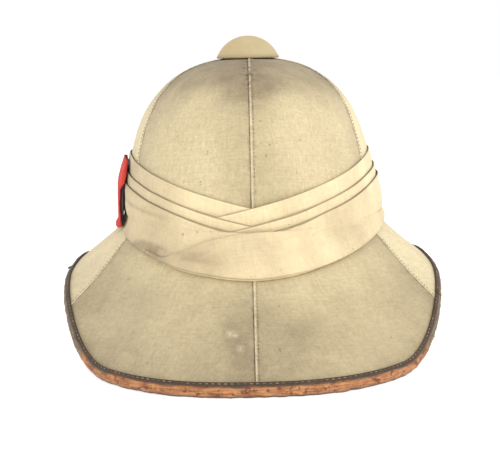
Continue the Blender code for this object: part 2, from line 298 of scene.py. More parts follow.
def shell_point(t, v):
    """Outside of the cork at azimuth t, a superellipse from the top for v from 0 to 1, then a
    cubic curve out to the brim's edge for v from 1 to 2."""
    t, v = np.broadcast_arrays(np.asarray(t, float), np.asarray(v, float))
    t = leaned(t, v)
    foot = oval(t, CROWN_WIDTH / 2, CROWN_REAR, CROWN_FRONT, 2.0)
    a = np.clip(v, 0.0, 1.0) * math.pi / 2
    crown_r = foot * np.sin(a) ** (2 / CROWN_CURVE)
    crown_z = CROWN_FOOT + CROWN_RISE * np.abs(np.cos(a)) ** (2 / CROWN_CURVE)
    edge = oval(t, BRIM_SIDE, BRIM_REAR, BRIM_FRONT, np.where(np.cos(t) > 0, REAR_CURVE, FRONT_CURVE))
    s2 = np.sin(t) ** 2
    b = np.radians(np.where(np.cos(t) > 0, REAR_SLOPE, FRONT_SLOPE) * (1 - s2) + SIDE_SLOPE * s2)
    edge_z = edge_height(t) + MID * np.cos(b)
    w = np.clip(v - 1, 0.0, None)
    k0, k1, k2, k3 = (1 - w) ** 3, 3 * w * (1 - w) ** 2, 3 * w * w * (1 - w), w ** 3
    brim_r = (k0 + k1) * foot + k2 * (edge - BRIM_TAIL * np.cos(b)) + k3 * edge
    fillet = END_FILLET * (1 - s2) + SIDE_FILLET * s2
    brim_z = k0 * CROWN_FOOT + k1 * (CROWN_FOOT - fillet) + k2 * (edge_z + BRIM_TAIL * np.sin(b))
    brim_z = brim_z + k3 * edge_z
    r = np.where(v <= 1, crown_r, brim_r)
    z = np.where(v <= 1, crown_z, brim_z)
    return np.stack([r * np.sin(t), AXIS_Y - r * np.cos(t), z], axis=-1)


def unit(vectors):
    """The vectors at length 1."""
    return vectors / np.linalg.norm(vectors, axis=-1, keepdims=True)


def shell_normal(t, v):
    """Unit normal of the cork's outside: cross product of its slopes down and along."""
    e = 1e-4
    along = shell_point(t + e, v) - shell_point(t - e, v)
    down = shell_point(t, v + e) - shell_point(t, v - e)
    return unit(np.cross(down, along))


def hole_share(t, radius):
    """Share v at azimuth t where the crown, seen from above, is a radius away from its middle."""
    foot = oval(leaned(t, 0.0), CROWN_WIDTH / 2, CROWN_REAR, CROWN_FRONT, 2.0)
    return np.arcsin((radius / foot) ** (CROWN_CURVE / 2)) * 2 / math.pi


def swell(points, size, seed):
    """Soft unevenness about size metres across: a sum of sine waves in seeded directions."""
    chance = np.random.default_rng(seed)
    ways = chance.normal(size=(WAVES, 3)) * (2 * math.pi / size / WAVE_SPREAD)
    start = chance.uniform(0, 2 * math.pi, WAVES)
    return np.sin(points @ ways.T + start).sum(-1) / math.sqrt(WAVES)


def laid(t, v, out):
    """Points a distance out from the cork, all layers sharing the cork's slight unevenness."""
    t, v, out = np.broadcast_arrays(*(np.asarray(a, float) for a in (t, v, out)))
    p = shell_point(t, v)
    calm = grown(v, *DENTS_FROM) * grown(v, *DENTS_TO)
    relief = calm * sum(depth * swell(p, size, seed) for depth, size, seed in DENTS)
    return p + shell_normal(t, v) * (out + relief)[..., None]


def grid_faces(rows, columns, around=False, about=False):
    """Quads of a grid, wound down and then along, so that they face out. Around joins the last
    column to the first, about joins the last row to the first."""
    i, j = np.meshgrid(np.arange(rows if about else rows - 1),
                       np.arange(columns if around else columns - 1), indexing="ij")
    below, beside = (i + 1) % rows, (j + 1) % columns
    corners = (i * columns + j, below * columns + j, below * columns + beside, i * columns + beside)
    return np.stack(corners, axis=-1).reshape(-1, 4)


def piece(name, points, faces, finish, values=None, uv=None):
    """One named mesh piece with smooth shading, its finish, own values per point and UV in metres."""
    mesh = bpy.data.meshes.new(name)
    mesh.from_pydata(points.reshape(-1, 3), [], faces)
    mesh.polygons.foreach_set("use_smooth", np.ones(len(mesh.polygons), bool))
    for key, value in (values or {}).items():
        layer = mesh.attributes.new(key, "FLOAT", "POINT")
        layer.data.foreach_set("value", np.ravel(value).astype(np.float32))
    if uv is not None:
        corner = np.empty(len(mesh.loops), np.int32)
        mesh.loops.foreach_get("vertex_index", corner)
        layer = mesh.uv_layers.new(name="cloth")
        layer.data.foreach_set("uv", uv.reshape(-1, 2)[corner].ravel().astype(np.float32))
    mesh.materials.append(finish)
    obj = bpy.data.objects.new(name, mesh)
    link(obj)
    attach(obj, "root")
    return obj


cork = Finish("moulded_cork", Roughness=0.92)
crumb = cork.noise(cork.place, 420.0, 3.0, 0.6)
patches = cork.noise(cork.place, 28.0, 3.0)
shade = cork.blend(crumb.smoothed(0.38, 0.66), tint(172, 140, 98), tint(205, 178, 134))
shade = cork.shaded(shade, patches * 0.24 + 0.88)
pits = crumb.smoothed(0.30, 0.42) * 0.7 + 0.3
moulded_cork = cork.paint(cork.shaded(shade, pits), Normal=cork.bump(crumb, 0.0006))

AROUND, SHELL_ROWS = 320, 90
t = np.linspace(-math.pi, math.pi, AROUND, endpoint=False)
down = np.linspace(0, 1, SHELL_ROWS)[:, None]
v = hole_share(t, VENT_HOLE) * (1 - down) + 2.0 * down
loop = np.concatenate([laid(t, v, 0.0), laid(t, v, -WALL)[::-1]])
shell = piece("cork_shell", loop, grid_faces(len(loop), AROUND, True, True), moulded_cork)
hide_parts("cork_body")

# Cloth gores. Six panels of khaki cotton drill are pasted over the cork, from the vent hole to the
# edge. Each lapped seam has one folded edge on top, sewn down with a row of small stitches.
CLOTH = 0.0007
SIDE_SEAM = math.radians(56.0)
# The folded edge in section: distance from the seam line and height over the cloth, first in mm.
# The edge under it lies flat and reaches past the seam line.
FOLDED = np.array(((0.16, 0.10), (0.0, 0.25), (-0.05, 0.48), (0.02, 0.72), (0.25, 0.90), (0.6, 0.95),
                   (1.1, 0.88), (1.6, 0.66), (2.1, 0.44), (2.6, 0.40), (3.1, 0.38), (3.8, 0.18),
                   (4.8, 0.0))) / 1000
UNDER = np.array(((2.6, 0.0), (1.2, 0.0), (0.3, 0.0), (-0.3, 0.0), (-0.8, 0.0), (-1.6, 0.0), (-3.0, 0.0),
                  (-5.5, 0.0))) / 1000
GORE_ROWS, GORE_COLUMNS = 150, 44
REAR, FRONT = 0.0, math.pi
# Name, azimuths of its two seams, and whether its own edge lies on top there
GORES = (
    ("gore_rear_right", REAR, SIDE_SEAM, True, False),
    ("gore_rear_left", -SIDE_SEAM, REAR, False, False),
    ("gore_side_right", SIDE_SEAM, FRONT - SIDE_SEAM, True, True),
    ("gore_side_left", SIDE_SEAM - FRONT, -SIDE_SEAM, True, True),
    ("gore_front_right", FRONT - SIDE_SEAM, FRONT, False, False),
    ("gore_front_left", -FRONT, SIDE_SEAM - FRONT, True, False),
)
# Soil: where it starts, over what length it grows, and its share under the ventilator, along the
# seams of rear and front panels (soil with painted shade), on the left side (painted shade) and
# low on the brim behind
EVEN_SOIL = 0.12
TOP_SOIL, PANEL_SOIL_AND_SHADE, LEFT_SHADE = (0.164, 0.044, 0.74), (0.035, -0.035, 0.22), (-0.05, -0.05, 0.14)
HEM_SOIL = ((0.030, -0.025, 0.20), (0.068, -0.02, 0.06))
# Soil low down: its start and span, its share behind and in front, and how much of it on side panels
LOW_START, LOW_REAR, LOW_FRONT, LOW_ON_SIDES = (0.068, -0.03), 0.24, 0.15, 0.5
# Marks along a rear or front seam, then along a side seam: place across it, width and share. The
# pale ridge is a painted highlight on the folded crest; the stitch groove and the dark corner are
# painted shade.
PALE_RIDGE = (0.0006, 0.0012, 0.60), (0.0006, 0.0012, 0.35)
STITCH_GROOVE = (0.0023, 0.0006, 0.28), (0.0023, 0.0006, 0.12)
DARK_CORNER = (0.0, 0.0011, 0.95), (0.0, 0.0011, 0.16)
# Pale scuffs on the neck guard: place across, height, size. Smears near them: the same, but width
SCUFFS = ((-0.0156, 0.0334, 0.0011), (-0.0128, 0.0332, 0.0009), (-0.0140, 0.0352, 0.0007),
          (-0.0098, 0.0262, 0.0010), (-0.0108, 0.0276, 0.0007))
SMEARS = ((-0.0170, 0.0360, 0.0050), (-0.0100, 0.0250, 0.0060), (0.028, 0.034, 0.012))
SCUFF_SHARE, SMEAR_SHARE, SMEAR_HEIGHT, GUARD = 0.55, 0.22, 0.0075, (0.06, -0.01)
# Dark specks beside a seam: width of their strip, share behind and in front, and more at the top
SPECK_REACH, SPECK_REAR, SPECK_FRONT, SPECK_TOP = 0.0035, 0.22, 0.15, (0.185, 0.01, 0.5)


def drill_finish(name, clean, soiled):
    """Khaki drill: diagonal weave, slubs both ways, blotches, specks, and its own soil, painted shade
    mixed with grime, and painted highlight mixed with pale wear."""
    drill = Finish(name, Roughness=0.95, Sheen_Weight=0.1, Sheen_Roughness=0.5)
    warp = drill.noise(drill.cloth_place(900.0, 55.0), 1.0, 3.0, 0.6)
    weft = drill.noise(drill.cloth_place(55.0, 900.0), 1.0, 3.0, 0.6)
    blotch = drill.noise(drill.place, 22.0, 5.0, 0.65)
    cloud = drill.noise(drill.place, 75.0, 6.0, 0.72)
    mottle = drill.noise(drill.place, 260.0, 4.0, 0.7)
    grit = drill.noise(drill.place, 520.0, 3.0, 0.7)
    soil, shade_and_grime, fade = (drill.attribute(key) for key in ("soil", "shade_and_grime", "fade"))
    dirt = soil * (blotch.smoothed(0.3, 0.7) * 0.3 + 0.85) + (cloud - 0.5) * 0.4
    colour = drill.blend(dirt.capped().floored(), clean, soiled)
    colour = drill.shaded(colour, (warp + weft) * 0.30 + 0.70)
    colour = drill.shaded(colour, grit * 0.30 + 0.85)
    colour = drill.shaded(colour, mottle * 0.34 + 0.83)
    # Paler: a painted highlight on the seams' folded crests, and scuffs worn pale on the neck guard
    pale = fade * (grit.smoothed(0.42, 0.62) * 0.5 + 0.5)
    colour = drill.blend(pale, colour, tint(240, 228, 196))
    speck = drill.noise(drill.place, 330.0, 1.0).smoothed(0.72, 0.76)
    colour = drill.blend(speck * cloud.smoothed(0.45, 0.6) * 0.5, colour, tint(112, 84, 56))
    # Darkened: painted shade in the seams' corners and stitch grooves, with dark specks of grime
    colour = drill.blend(shade_and_grime, colour, tint(84, 66, 44))
    threads = drill.cloth_place(2 * math.pi / 0.00085, 2 * math.pi / 0.00085)
    parts = "ShaderNodeSeparateXYZ"
    across, along = (drill.node(parts, None, threads, out=axis) for axis in ("X", "Y"))
    twill = (across + along).sine() * 0.6 + (across * 2.0).sine() * 0.25
    relief = twill * 0.00006 + (warp + weft) * 0.00025 + cloud * 0.0005
    return drill.paint(colour, Normal=drill.bump(relief, 1.0, 0.8))


# One drill twice: the side gores take a brighter copy, a painted highlight on the panels at the sides
rear_drill = drill_finish("rear_drill", tint(211, 194, 154), tint(140, 124, 97))
lit_side_drill = drill_finish("lit_side_drill", tint(232, 216, 176), tint(166, 149, 117))


def seam_shift(t, v, metres):
    """Azimuth that lies so many metres along the surface from azimuth t at share v."""
    e = 1e-3
    pace = np.linalg.norm(shell_point(t + e, v) - shell_point(t - e, v), axis=-1) / (2 * e)
    return t + metres / pace


def metric_uv(grid):
    """UV in metres: lengths along each row from its middle, and down each column from its top."""
    along = np.linalg.norm(np.diff(grid, axis=1), axis=-1)
    u = np.concatenate([np.zeros((len(grid), 1)), np.cumsum(along, axis=1)], axis=1)
    down = np.linalg.norm(np.diff(grid, axis=0), axis=-1)
    v = np.concatenate([np.zeros((1, grid.shape[1])), np.cumsum(down, axis=0)])
    return np.stack([u - u[:, -1:] / 2, v], axis=-1)


def flat_area(grid):
    """Area of a grid's cells: half the cross product of each cell's diagonals."""
    one, other = grid[1:, 1:] - grid[:-1, :-1], grid[1:, :-1] - grid[:-1, 1:]
    return float(np.linalg.norm(np.cross(one, other), axis=-1).sum() / 2)


def declare_cloth(grid):
    """Works out a rectangle as long and wide as the piece's longest lines, and the lesser of its area and
    the piece's own; nothing is kept or returned.
    """
    along = np.linalg.norm(np.diff(grid, axis=1), axis=-1).sum(1).max()
    down = np.linalg.norm(np.diff(grid, axis=0), axis=-1).sum(0).max()
    area = min(flat_area(grid), along * down)


def thicken(obj, metres):
    """Gives the open sheet its thickness, inward from its outer face."""
    wall = obj.modifiers.new("thickness", "SOLIDIFY")
    wall.thickness = metres
    wall.offset = -1.0


def rise_at(seam):
    """Share of the folded edge's full height: all seams but the rear one are pressed flatter."""
    return 1.0 if seam == REAR else 0.55


for name, first, last, first_over, last_over in GORES:
    on_side = "side" in name
    left = FOLDED * (1, rise_at(first)) if first_over else UNDER * (-1, 1)
    right = (FOLDED * (-1, rise_at(last)) if last_over else UNDER)[::-1]
    hole = hole_share((first + last) / 2, COVER_HOLE)
    v = (hole + (2.0 - hole) * np.linspace(0, 1, GORE_ROWS))[:, None]
    near = seam_shift(first, v, left[None, :, 0])
    far = seam_shift(last, v, right[None, :, 0])
    share = np.linspace(0, 1, GORE_COLUMNS)[None, 1:-1]
    inner = near[:, -1:] * (1 - share) + far[:, :1] * share
    t = np.concatenate([near, inner, far], axis=1)
    lift = np.concatenate([left[:, 1], np.zeros(inner.shape[1]), right[:, 1]])
    grid = laid(t, v, COVER_OUT + lift)

    height, beside = grid[..., 2], grid[..., 0]
    rear = np.cos(t) > 0
    reach = np.linalg.norm(grid[..., :2] - (0, AXIS_Y), axis=-1)
    away = np.minimum(np.abs(t - first), np.abs(last - t)) * reach
    soil = EVEN_SOIL + grown(height - 0.004 * swell(grid, 0.03, 13), *TOP_SOIL)
    # Soil with painted shade near the panel seams, and painted shade over the left side
    soil = soil + grown(away, *PANEL_SOIL_AND_SHADE) * (not on_side) + grown(beside, *LEFT_SHADE)
    low_share = np.where(rear, LOW_REAR, LOW_FRONT) * (LOW_ON_SIDES if on_side else 1.0)
    soil = soil + grown(height, *LOW_START) * low_share
    soil = soil + sum(grown(height, *hem) for hem in HEM_SOIL) * rear
    soil = soil + 0.05 * swell(grid, 0.05, 11)

    # Along a seam the folded edge gets a painted highlight on its crest, and painted shade lies in the
    # stitch groove beside it and in the corner under it
    ridge, corner = np.zeros(len(lift)), np.zeros(len(lift))
    for over, seam, line, at in ((first_over, first, left, slice(0, len(left))),
                                 (last_over, last, right, slice(len(lift) - len(right), None))):
        across = np.abs(line[:, 0])
        kind = 0 if abs(seam) in (REAR, FRONT) else 1
        if over:
            ridge[at] = near_line(across, *PALE_RIDGE[kind])
            corner[at] = near_line(across, *STITCH_GROOVE[kind])
        else:
            corner[at] = near_line(across, *DARK_CORNER[kind])

    guard = rear * grown(height, *GUARD)
    scuffs = sum(np.exp(-((beside - x) ** 2 + (height - z) ** 2) / (2 * size ** 2))
                 for x, z, size in SCUFFS)
    smears = sum(np.exp(-((beside - x) / wide) ** 2 - ((height - z) / SMEAR_HEIGHT) ** 2)
                 for x, z, wide in SMEARS)
    specks = grown(swell(grid, 0.0035, 14), 0.25, 0.3) * np.exp(-(away / SPECK_REACH) ** 2)
    specks = specks * np.where(rear, SPECK_REAR + grown(height, *SPECK_TOP), SPECK_FRONT)
    # Soil, painted shade with specks of grime, and painted highlight with scuffs
    marks = {"soil": soil + SMEAR_SHARE * smears * guard,
             "shade_and_grime": corner * (0.8 + 0.25 * swell(grid, 0.02, 12)) + specks,
             "fade": ridge + SCUFF_SHARE * scuffs * guard}
    marks = {key: np.clip(mark, 0, 1) for key, mark in marks.items()}
    gore = piece(name, grid, grid_faces(*grid.shape[:2]), lit_side_drill if on_side else rear_drill,
                 marks, metric_uv(grid))
    thicken(gore, CLOTH)
    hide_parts(name.replace("gore", "cover"))
    declare_cloth(grid)

# Seam stitches. Each lapped seam is sewn down with cotton thread, seven stitches to two
# centimetres, 2.3 mm from its folded edge; the band covers them between its foot and top line.
SEAM_STITCH, SEAM_LENGTH, SEAM_THREAD = 0.0028, 0.0013, 0.00030
SEAM_BESIDE, SEAM_LIFT = 0.0023, 0.00060
# Shares v on the crown and on the brim between which the stitches show
SEAM_RUNS = ((0.30, 0.86), (1.34, 1.97))
# Rings along a thread: place along its half length, thickness and lift as shares of its radius
THREAD_RINGS = np.array(((-1.0, 0.25, -0.9), (-0.5, 0.85, 0.2), (0.0, 1.0, 0.5), (0.5, 0.85, 0.2),
                         (1.0, 0.25, -0.9)))
THREAD_SIDES = 6


def stitch_row(centres, ways, ups, length, radius):
    """Points and faces of many short threads: rings of points along each, pinched to its ends,
    which dip into the cloth by nearly a radius."""
    ring, thick, rise = THREAD_RINGS.T
    turn = np.linspace(0, 2 * math.pi, THREAD_SIDES, endpoint=False)
    across = np.cross(ups, ways)
    body = centres[:, None, None] + ways[:, None, None] * (ring * length / 2)[None, :, None, None]
    lift = (rise[:, None] + thick[:, None] * np.cos(turn)) * radius
    side = thick[:, None] * np.sin(turn) * radius
    points = body + ups[:, None, None] * lift[None, :, :, None]
    points = points + across[:, None, None] * side[None, :, :, None]
    first = np.arange(len(centres))[:, None] * len(ring) * THREAD_SIDES
    sides = grid_faces(len(ring), THREAD_SIDES, around=True)[None] + first[..., None]
    end = np.arange(THREAD_SIDES)
    ends = np.concatenate([first + end, first + (len(ring) - 1) * THREAD_SIDES + end[::-1]])
    return points.reshape(-1, 3), sides.reshape(-1, 4).tolist() + ends.tolist()


def spaced(line, step):
    """Shares of the line's points at equal steps of length along it."""
    length = np.concatenate([[0], np.cumsum(np.linalg.norm(np.diff(line, axis=0), axis=-1))])
    return np.interp(np.arange(step, length[-1], step), length, np.linspace(0, 1, len(line)))


def thread_finish(name, shade, other):
    """Waxed cotton thread: a fine twist, slightly uneven in colour."""
    thread = Finish(name, Roughness=0.8)
    uneven = thread.noise(thread.place, 130.0, 3.0)
    colour = thread.blend(uneven.smoothed(0.3, 0.7), shade, other)
    return thread.paint(colour, Normal=thread.bump(uneven, 0.0002))


seam_thread = thread_finish("seam_thread", tint(98, 81, 55), tint(172, 152, 114))
# Each seam, and the side of it that its folded edge lies on
SEAMS = ((REAR, 1), (SIDE_SEAM, 1), (-SIDE_SEAM, -1), (FRONT - SIDE_SEAM, -1), (SIDE_SEAM - FRONT, 1),
         (-FRONT, 1))
centres, ways, ups = [], [], []
for seam, side in SEAMS:
    lifted = COVER_OUT + SEAM_LIFT * rise_at(seam)
    for start, end in SEAM_RUNS:
        v = np.linspace(start, end, 300)
        line = laid(seam_shift(seam, v, side * SEAM_BESIDE), v, lifted)
        at = start + (end - start) * spaced(line, SEAM_STITCH)
        t = seam_shift(seam, at, side * SEAM_BESIDE)
        way = laid(t, at + 1e-3, COVER_OUT) - laid(t, at, COVER_OUT)
        centres.append(laid(t, at, lifted))
        ways.append(unit(way))
        ups.append(shell_normal(t, at))
places = (np.concatenate(part) for part in (centres, ways, ups))
points, faces = stitch_row(*places, SEAM_LENGTH, SEAM_THREAD)
piece("seam_stitches", points, faces, seam_thread)

# Wound band. A long strip of light cotton is folded and wound round the crown from both sides, so
# that each fold laps the one above and the folds cross at the rear and front, and is stitched down.
FOLD, PITCH = 0.0015, 0.0018
# The visible cloth of a fold is a little thinner than its solid
THIN_FOLD = FOLD * 0.86
# Top line of each fold: its height at the rear and its rise to the sides; least height of its face
LINES = ((0.107, 0.031), (0.095, 0.031), (0.088, 0.031))
LEAST_FACE = (0.0016, 0.0016, 0.0022)
FOOT_REAR, FOOT_FRONT, FOOT_RISE = 0.060, 0.066, 0.020
BELOW = 0.005
TAIL_STEEPER, TAIL_STAND = 1.25, 1.25
# Shares down the wide wrap, how far it stands out there, and how far each side bulges
WRAP_SHARES = (0.0, 0.17, 0.45, 0.72, 1.0)
STAND_SHARES = (1.0, 1.0, 0.85, 0.5, 0.0)
BULGE = {"left": 0.001, "right": 0.0045}
BULGE_SHARES = {"left": (0.0, 0.5, 1.0, 0.75, 0.0), "right": (0.0, 0.1, 0.5, 1.0, 0.8)}
# Degrees from rear or front up to which the folds cross, and over which the crossing fades
CROSS_HALF, CROSS_FADE = 10.0, 16.0
# Depth and size of the creases, on the narrow folds and on the wide wrap
FOLD_CREASES, WRAP_CREASES = (0.00012, 0.007), (0.00035, 0.010)


def band_line(fold, t):
    """Height of a fold's top line at azimuth t, alike on both sides."""
    return LINES[fold][0] + LINES[fold][1] * np.abs(np.sin(t))


def band_foot(t):
    """Height of the band's lower edge: rear and front heights blended, raised toward the sides."""
    blend = smooth(np.abs(np.sin(t)))
    base = np.where(np.cos(t) > 0, FOOT_REAR, FOOT_FRONT)
    level = base * (1 - blend) + (FOOT_REAR + FOOT_FRONT) / 2 * blend
    return level + FOOT_RISE * np.abs(np.sin(t)) ** 1.6


def crossing(t):
    """1 where the folds cross at rear and front, 0 at the sides."""
    off = np.degrees(np.minimum(np.abs(t), math.pi - np.abs(t)))
    return 1 - grown(off, CROSS_HALF, CROSS_FADE)


def share_at(t, z):
    """Share v where the cork's outside is at height z, found by halving a wide range."""
    low, high = np.full(np.shape(t), 0.3), np.full(np.shape(t), 1.8)
    for _ in range(26):
        mid = (low + high) / 2
        above = shell_point(t, mid)[..., 2] > z
        low, high = np.where(above, mid, low), np.where(above, high, mid)
    return (low + high) / 2


def cotton_finish(name, clean, soiled):
    """Light plain cotton: fine weave, long slubs, soft smudges, painted shade along the folds."""
    cotton = Finish(name, Roughness=0.95, Sheen_Weight=0.15, Sheen_Roughness=0.5)
    warp = cotton.noise(cotton.cloth_place(900.0, 80.0), 1.0, 3.0, 0.6)
    weft = cotton.noise(cotton.cloth_place(40.0, 900.0), 1.0, 3.0, 0.6)
    blotch = cotton.noise(cotton.place, 20.0, 5.0, 0.65)
    cloud = cotton.noise(cotton.place, 60.0, 6.0, 0.7)
    soil, shade_and_grime = cotton.attribute("soil"), cotton.attribute("shade_and_grime")
    dirt = (soil * (blotch.smoothed(0.2, 0.8) * 0.6 + 0.7) + (cloud - 0.5) * 0.45).capped().floored()
    colour = cotton.blend(dirt, clean, soiled)
    mottle = cotton.noise(cotton.place, 260.0, 4.0, 0.7)
    colour = cotton.shaded(colour, (warp + weft) * 0.22 + 0.77)
    colour = cotton.shaded(colour, mottle * 0.22 + 0.89)
    speck = cotton.noise(cotton.place, 300.0, 1.0).smoothed(0.735, 0.77)
    colour = cotton.blend(speck * 0.4, colour, tint(132, 104, 70))
    # Painted shade along the folds' top edges and in the corners above them
    colour = cotton.blend(shade_and_grime, colour, tint(70, 56, 36))
    threads = cotton.cloth_place(2 * math.pi / 0.0006, 2 * math.pi / 0.0006)
    across, along = (cotton.node("ShaderNodeSeparateXYZ", None, threads, out=axis) for axis in ("X", "Y"))
    relief = (across.sine() * along.sine()) * 0.00005 + (warp + weft) * 0.0002 + cloud * 0.0003
    return cotton.paint(colour, Normal=cotton.bump(relief, 1.0, 0.8))


band_cotton = cotton_finish("band_cotton", tint(242, 222, 178), tint(172, 152, 120))

BAND_STATIONS = 420
REACH_PAST = math.radians(17.0)
TAIL_PAST = math.radians(37.0)
# A fold in section: angles round its rounded top edge, then shares down its face
ROUND = np.radians(np.array((180.0, 150.0, 120.0, 90.0, 60.0, 30.0, 8.0)))
FACE = np.linspace(0.0, 1.0, 26)[1:]
# Painted shade at those angles, all round and, besides, on the tail that ends at the rear
ROUND_SHADE = np.array((1.0, 1.0, 1.0, 0.6, 0.15, 0.0, 0.0))[:, None]
TAIL_SHADE = np.array((0.0, 0.0, 0.0, 0.5, 0.6, 0.25, 0.0))[:, None]
# Painted shade above another fold's line: height over it, width and share
CORNER_SHADE = (0.0002, 0.0008, 0.8)
# Stains on the wrap: azimuth, width, height and size up and down; the streak falls toward the rear
SMUDGE = (-0.68, 0.14, 0.0775, 0.0026)
STREAK, STREAK_FALL = (-0.85, 0.30, 0.1025, 0.0014), 0.0114
STAIN = (-0.27, 0.14, 0.0745, 0.0045)


def band_fold(fold, side):
    """One fold on one side of the band: closed strip whose section is a rounded top edge, an outer
    face down to below the next fold's line, and the inner face back up, carried round the crown."""
    past = TAIL_PAST if fold == 2 and side > 0 else REACH_PAST
    t = side * np.linspace(-past, math.pi + REACH_PAST, BAND_STATIONS)
    own_side = np.sin(t) * side >= 0
    steeper = np.where(own_side, 1.0, TAIL_STEEPER if fold == 2 else 1.0)
    top = LINES[fold][0] + side * steeper * LINES[fold][1] * np.sin(t)
    bottom = band_foot(t) if fold == 2 else band_line(fold + 1, t) - BELOW
    top = np.maximum(top, bottom + LEAST_FACE[fold])
    z_face = top[None] + (bottom - top)[None] * FACE[:, None]
    wrap_top = band_line(2, t)
    share = np.clip((wrap_top - z_face) / (wrap_top - band_foot(t)), 0, 1) if fold == 2 else z_face * 0
    cross = crossing(t)
    over = np.where(np.sin(t) > 1e-6, cross, 1.0) * TAIL_STAND * (side > 0)
    if fold == 2:
        stand = np.interp(share, WRAP_SHARES, STAND_SHARES)
        level = 1 + (2 + 2 * cross) * stand + over
        loose = np.where(np.sin(t) > 0, 1 - cross, 0.0)
        bulge = sum(BULGE[hand] * np.interp(share, WRAP_SHARES, BULGE_SHARES[hand]) * part
                    for hand, part in (("left", 1 - loose), ("right", loose)))
    else:
        level = 1 + fold + cross * (fold + (side > 0)) + z_face * 0
        bulge = z_face * 0
    pucker = unrolled_creases(t, z_face, fold, side)
    out_face = COVER_OUT + level * PITCH + bulge + pucker
    v_face = share_at(t[None] + 0 * z_face, z_face)
    v_top = share_at(t, top)
    turn_v = np.abs(np.gradient(v_face, axis=0)[0] / np.gradient(z_face, axis=0)[0])
    rounded = THIN_FOLD / 2 * (1 - np.sin(ROUND))[:, None]
    v_round = v_top[None] + rounded * turn_v[None]
    out_round = out_face[0][None] - THIN_FOLD / 2 + THIN_FOLD / 2 * np.cos(ROUND)[:, None]
    inner_v, inner_out = v_face[::-1], (out_face - THIN_FOLD)[::-1]
    v = np.concatenate([v_round, v_face[1:], inner_v[:-2]])
    out = np.concatenate([out_round, out_face[1:], inner_out[:-2]])
    return t, v, out


def unrolled_creases(t, z, fold, side):
    """Long soft creases along the band: sine waves stretched eight times along the winding, other
    ones on each fold and side."""
    flat = np.stack([t[None] * 0.1 / 8 + 0 * z, z, 0 * z + 0.05 * fold + 0.1 * (side > 0)], axis=-1)
    depth, size = WRAP_CREASES if fold == 2 else FOLD_CREASES
    return depth * swell(flat, size, 21 + fold)


def spot(t, height, middle, wide, level, tall):
    """1 at one azimuth and height, falling off all round by a bell curve."""
    return np.exp(-((t[None] - middle) / wide) ** 2 - ((height - level) / tall) ** 2)


for fold, label in enumerate(("top", "middle", "lower")):
    for side, hand in ((-1, "left"), (1, "right")):
        t, v, out = band_fold(fold, side)
        if side < 0:
            t, v, out = t[::-1], v[:, ::-1], out[:, ::-1]
        grid = laid(t[None] + 0 * v, v, out)
        rows, columns = grid.shape[:2]
        starts = [row * columns for row in range(rows)]
        ends = [starts[::-1], [start + columns - 1 for start in starts]]
        faces = grid_faces(rows, columns, about=True).tolist() + ends

        # Painted shade sits in the rounded top edge and in the corner just above another fold's edge
        height, azimuth, is_wrap = grid[..., 2], t[None], fold == 2
        strong = 0.6 + grown(np.abs(np.sin(azimuth)), 0.4, 0.5, 0.35)
        tail = grown(azimuth, 0.0, -0.15) * (is_wrap and side > 0)
        strong = strong * (1 - tail * grown(azimuth, -0.54, -0.06))
        dark = np.zeros(grid.shape[:2])
        dark[:len(ROUND)] = (ROUND_SHADE + TAIL_SHADE * tail) * strong
        above = [] if is_wrap else [height - band_line(fold + 1, azimuth)]
        if side < 0:
            steeper = TAIL_STEEPER if is_wrap else 1.0
            above.append(height - (LINES[fold][0] + LINES[fold][1] * steeper * np.sin(azimuth)))
        for off in above:
            dark = np.maximum(dark, near_line(off, *CORNER_SHADE) * strong)

        # Soil all over, and painted shade growing toward the left side, away from the stronger lamp
        soil = 0.20 + 0.10 * swell(grid, 0.04, 31) + grown(azimuth, 0.0, -0.8, 0.22)
        if is_wrap:
            hem = grown(height - band_foot(azimuth), 0.012, -0.012) * grown(azimuth, -0.5, -0.3, 0.18)
            smudge = spot(t, height, *SMUDGE) * (0.75 + 0.5 * swell(grid, 0.006, 33))
            streak = spot(t, height + STREAK_FALL * (azimuth - STREAK[0]), *STREAK)
            soil = soil + hem + 0.95 * smudge + 0.35 * streak + 0.12
            creases = unrolled_creases(t, height, fold, side) / WRAP_CREASES[0]
            stain = spot(t, height, *STAIN) * (0.8 + 0.6 * creases)
            soil = soil + (0.34 * stain + grown(azimuth, 0.1, -0.3, 0.20)) * (side > 0)
        marks = {"soil": np.clip(soil, 0, 1), "shade_and_grime": np.clip(dark, 0, 1)}
        cover = piece("fold_%s_%s" % (label, hand), grid, faces, band_cotton, marks,
                      metric_uv(grid))
        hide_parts("band_%s_%s" % (label, hand))
        face = grid[:len(ROUND) + len(FACE) - 1]
        declare_cloth(face)

# Leather binding. A strip of thin brown leather is folded over the brim's edge and sewn through
# above and below. Its ends meet on the right, and its nose is worn orange along the rear.
FLANGE = 0.0020
JOINT = math.radians(58.0)
JOINT_GAP = math.radians(0.4)
LEATHER_STATIONS = 900
# In section: rows along each flange, rows round the nose, and degrees to each end of the nose
FLANGE_ROWS, NOSE_ROWS, NOSE_TURN = 6, 23, 82.0
leather = Finish("bound_leather", Roughness=0.62, Specular_IOR_Level=0.35)
grain = leather.noise(leather.place, 900.0, 3.0, 0.6)
streak = leather.noise(leather.cloth_place(90.0, 700.0), 1.0, 4.0, 0.65)
stain = leather.noise(leather.place, 75.0, 4.0, 0.6)
spots = leather.noise(leather.place, 240.0, 3.0, 0.6)
nicks = leather.noise(leather.place, 420.0, 2.0, 0.5)
wear, flange_tone_and_shade = leather.attribute("wear"), leather.attribute("flange")
brown = leather.blend(streak.smoothed(0.3, 0.7), tint(92, 75, 56), tint(138, 118, 93))
patchy = (streak * 0.6 + stain * 0.4).smoothed(0.36, 0.62)
orange = leather.blend(patchy, tint(122, 70, 42), tint(196, 138, 90))
worn = (wear * (stain.smoothed(0.2, 0.5) * 0.6 + 0.6)).capped()
colour = leather.blend(worn, brown, orange)
